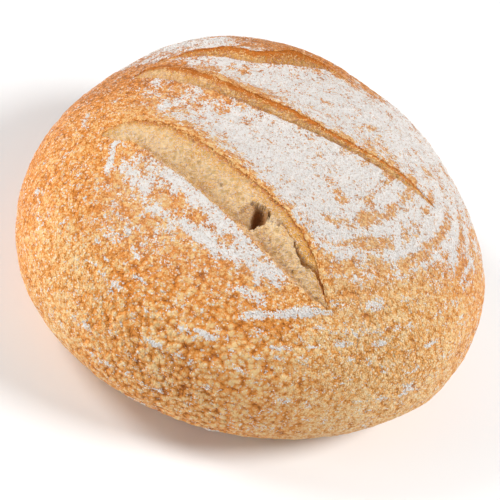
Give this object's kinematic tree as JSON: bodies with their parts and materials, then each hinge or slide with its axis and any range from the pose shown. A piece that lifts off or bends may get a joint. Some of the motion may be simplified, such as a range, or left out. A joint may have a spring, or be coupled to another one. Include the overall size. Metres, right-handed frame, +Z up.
{
  "type": "sourdough loaf",
  "caption": "Round hearth loaf with a domed crust, a flat base and three opened slashes with raised ears across its floured top.",
  "frame": {"origin": "middle of the plan's box, on the plane of the flat base", "axes": "+Z up through the crown, +X along the slashes from their blunt left tips to their sharp right tips, +Y towards the back slash"},
  "size_m": [0.2424, 0.2386, 0.1188],
  "materials": {
    "crust": "baked crust, golden to orange-brown, blistered and dry, dusted with flour",
    "crumb": "open crumb in the slashes, pale gold, matte and finely pored",
    "flour": "dry white flour, fully matte"
  },
  "bodies": {
    "root": {"loaf": "crust"}
  },
  "joints": []
}
